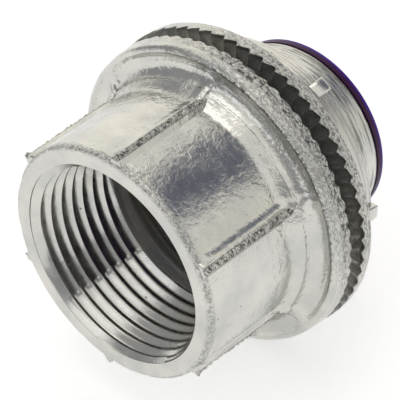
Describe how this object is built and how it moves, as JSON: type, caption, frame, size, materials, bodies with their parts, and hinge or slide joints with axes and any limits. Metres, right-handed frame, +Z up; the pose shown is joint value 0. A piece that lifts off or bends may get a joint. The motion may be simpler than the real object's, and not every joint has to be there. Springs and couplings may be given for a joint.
{
  "type": "conduit connector hub",
  "caption": "Zinc conduit hub: internally threaded ribbed socket with toothed flange, screwed together with a flanged nipple that has a plastic-lined throat.",
  "frame": {"origin": "centre of the conduit socket's mouth, on the bore's axis", "axes": "+Y along the bore, from the socket's mouth through the flanges to the lined throat; +Z up, and +X to the right seen from the mouth"},
  "size_m": [0.0516, 0.0454, 0.0516],
  "materials": {
    "hub_zinc": "as-cast zinc alloy, semi-bright with a fine cast texture",
    "seal_rubber": "matt black synthetic rubber",
    "nipple_zinc": "as-cast zinc alloy with a turned barrel",
    "liner_plastic": "deep violet moulded thermoplastic, satin"
  },
  "bodies": {
    "hub": {"hub_body": "hub_zinc", "sealing_ring": "seal_rubber"},
    "liner": {"throat_insulator": "liner_plastic"},
    "nipple": {"flanged_nipple": "nipple_zinc"}
  },
  "joints": [
    {"name": "nipple_travel", "type": "slide", "parent": "hub", "child": "liner", "axis": [0, 1, 0], "range_m": [-0.00073, 0.0033]},
    {"name": "nipple_turn", "type": "hinge", "parent": "liner", "child": "nipple", "pos_m": [0, 0.03, 0], "axis": [0, 1, 0], "range_deg": [-120, 540]}
  ],
  "couplings": [
    {"joint": "nipple_turn", "follows": "nipple_travel", "rad_per_m": 2844.8}
  ]
}
